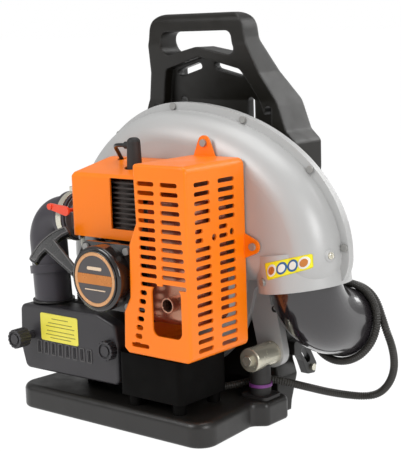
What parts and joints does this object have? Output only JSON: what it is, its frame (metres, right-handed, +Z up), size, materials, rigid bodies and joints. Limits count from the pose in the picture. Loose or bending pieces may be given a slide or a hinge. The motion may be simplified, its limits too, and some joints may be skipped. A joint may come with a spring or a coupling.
{
  "type": "backpack leaf blower",
  "caption": "Petrol backpack blower: scroll fan housing on a carrying frame, engine with covers, recoil starter, filter box and outlet elbow.",
  "frame": {"origin": "middle of the base plate underside, on the ground", "axes": "+Z up, +Y towards the wearer, +X towards the air outlet"},
  "size_m": [0.4412, 0.3125, 0.502],
  "materials": {
    "black_plastic": "moulded, satin",
    "grey_shell": "moulded, satin grey",
    "dark_plastic": "moulded, satin charcoal",
    "elbow_plastic": "moulded, glossy charcoal",
    "orange_cover": "moulded, glossy orange",
    "cast_alloy": "as cast",
    "steel": "machined",
    "bright_steel": "nickel plated",
    "muffler_steel": "heat-dulled",
    "nylon": "glass-filled nylon",
    "badge": "printed disc",
    "rubber_black": "soft black",
    "conduit": "ribbed",
    "rope": "braided",
    "pad_cloth": "padded cloth",
    "foam": "pleated paper",
    "choke_red": "moulded",
    "primer": "clear",
    "fuel_line": "translucent",
    "tie_purple": "moulded"
  },
  "bodies": {
    "housing": {"base_plate": "black_plastic", "back_frame": "black_plastic", "back_pad": "pad_cloth", "strap_anchors": "black_plastic", "volute_front": "grey_shell", "volute_rear": "grey_shell", "inlet_grille": "black_plastic", "outlet_elbow": "elbow_plastic", "crankcase_front": "cast_alloy", "crankcase_rear": "cast_alloy", "main_bearings": "steel", "cylinder": "cast_alloy", "spark_plug": "bright_steel", "plug_boot": "rubber_black", "ignition_coil": "nylon", "ignition_lead": "rubber_black", "muffler": "muffler_steel", "muffler_guard": "orange_cover", "cylinder_cowl": "orange_cover", "starter_housing": "black_plastic", "starter_badge": "badge", "recoil_spring": "steel", "insulator_block": "nylon", "carburettor": "cast_alloy", "fuel_hose": "fuel_line", "intake_duct": "black_plastic", "intake_clamp": "bright_steel", "filter_case": "black_plastic", "filter_element": "foam", "fuel_tank": "dark_plastic", "damper_sleeves": "bright_steel", "damper_posts": "rubber_black", "rear_dampers": "rubber_black", "housing_screws": "bright_steel", "mount_bolts": "steel", "control_conduit": "conduit", "conduit_coil": "conduit", "conduit_end": "rubber_black", "cable_tie": "tie_purple"},
    "rotor": {"crankshaft": "steel", "flywheel": "cast_alloy", "impeller": "nylon", "impeller_nut": "steel", "starter_cup": "steel"},
    "piston_set": {"piston": "cast_alloy", "connecting_rod": "steel", "piston_pins": "steel"},
    "pull_handle": {"starter_handle": "black_plastic", "rope_end": "rope"},
    "rope_pulley": {"starter_pulley": "nylon", "wound_rope": "rope"},
    "choke": {"choke_lever": "choke_red"},
    "throttle": {"throttle_lever": "steel"},
    "primer": {"primer_bulb": "primer"},
    "cover": {"filter_cover": "dark_plastic"},
    "left_knob": {"knob_left": "black_plastic"},
    "right_knob": {"knob_right": "black_plastic"},
    "cap": {"fuel_cap": "black_plastic"}
  },
  "joints": [
    {"name": "crank_spin", "type": "hinge", "parent": "housing", "child": "rotor", "pos_m": [0.0137, -0.04, 0.1913], "axis": [0, 1, 0], "continuous": true},
    {"name": "piston_slide", "type": "slide", "parent": "housing", "child": "piston_set", "axis": [0, 0, 1], "range_m": [0, 0.035]},
    {"name": "starter_pull", "type": "slide", "parent": "housing", "child": "pull_handle", "axis": [-0.8192, 0, 0.5736], "range_m": [0, 0.6], "stiffness_N_per_m": 20, "springref_m": -0.3},
    {"name": "pulley_spin", "type": "hinge", "parent": "housing", "child": "rope_pulley", "pos_m": [0.0137, -0.105, 0.1913], "axis": [0, 1, 0], "range_deg": [0, 1400]},
    {"name": "choke_turn", "type": "hinge", "parent": "housing", "child": "choke", "pos_m": [-0.073, -0.078, 0.262], "axis": [0, 1, 0], "range_deg": [0, 75]},
    {"name": "throttle_turn", "type": "hinge", "parent": "housing", "child": "throttle", "pos_m": [-0.052, -0.04, 0.27], "axis": [0, 0, 1], "range_deg": [-50, 0], "stiffness_Nm_per_rad": 0.05, "springref_deg": 17.19},
    {"name": "primer_press", "type": "slide", "parent": "housing", "child": "primer", "axis": [0, 0, 1], "range_m": [0, 0.003], "stiffness_N_per_m": 800, "springref_m": -0.001},
    {"name": "cover_slide", "type": "slide", "parent": "housing", "child": "cover", "axis": [0, -1, 0], "range_m": [0, 0.04]},
    {"name": "knob_left_turn", "type": "hinge", "parent": "cover", "child": "left_knob", "pos_m": [-0.141, -0.1, 0.095], "axis": [0, 1, 0], "continuous": true},
    {"name": "knob_right_turn", "type": "hinge", "parent": "cover", "child": "right_knob", "pos_m": [-0.001, -0.09, 0.095], "axis": [0, 1, 0], "continuous": true},
    {"name": "fuel_cap_turn", "type": "hinge", "parent": "housing", "child": "cap", "pos_m": [-0.062, -0.024, 0.13], "axis": [0, 0, 1], "range_deg": [0, 540]}
  ],
  "couplings": [
    {"joint": "pulley_spin", "follows": "starter_pull", "rad_per_m": 40.486}
  ]
}
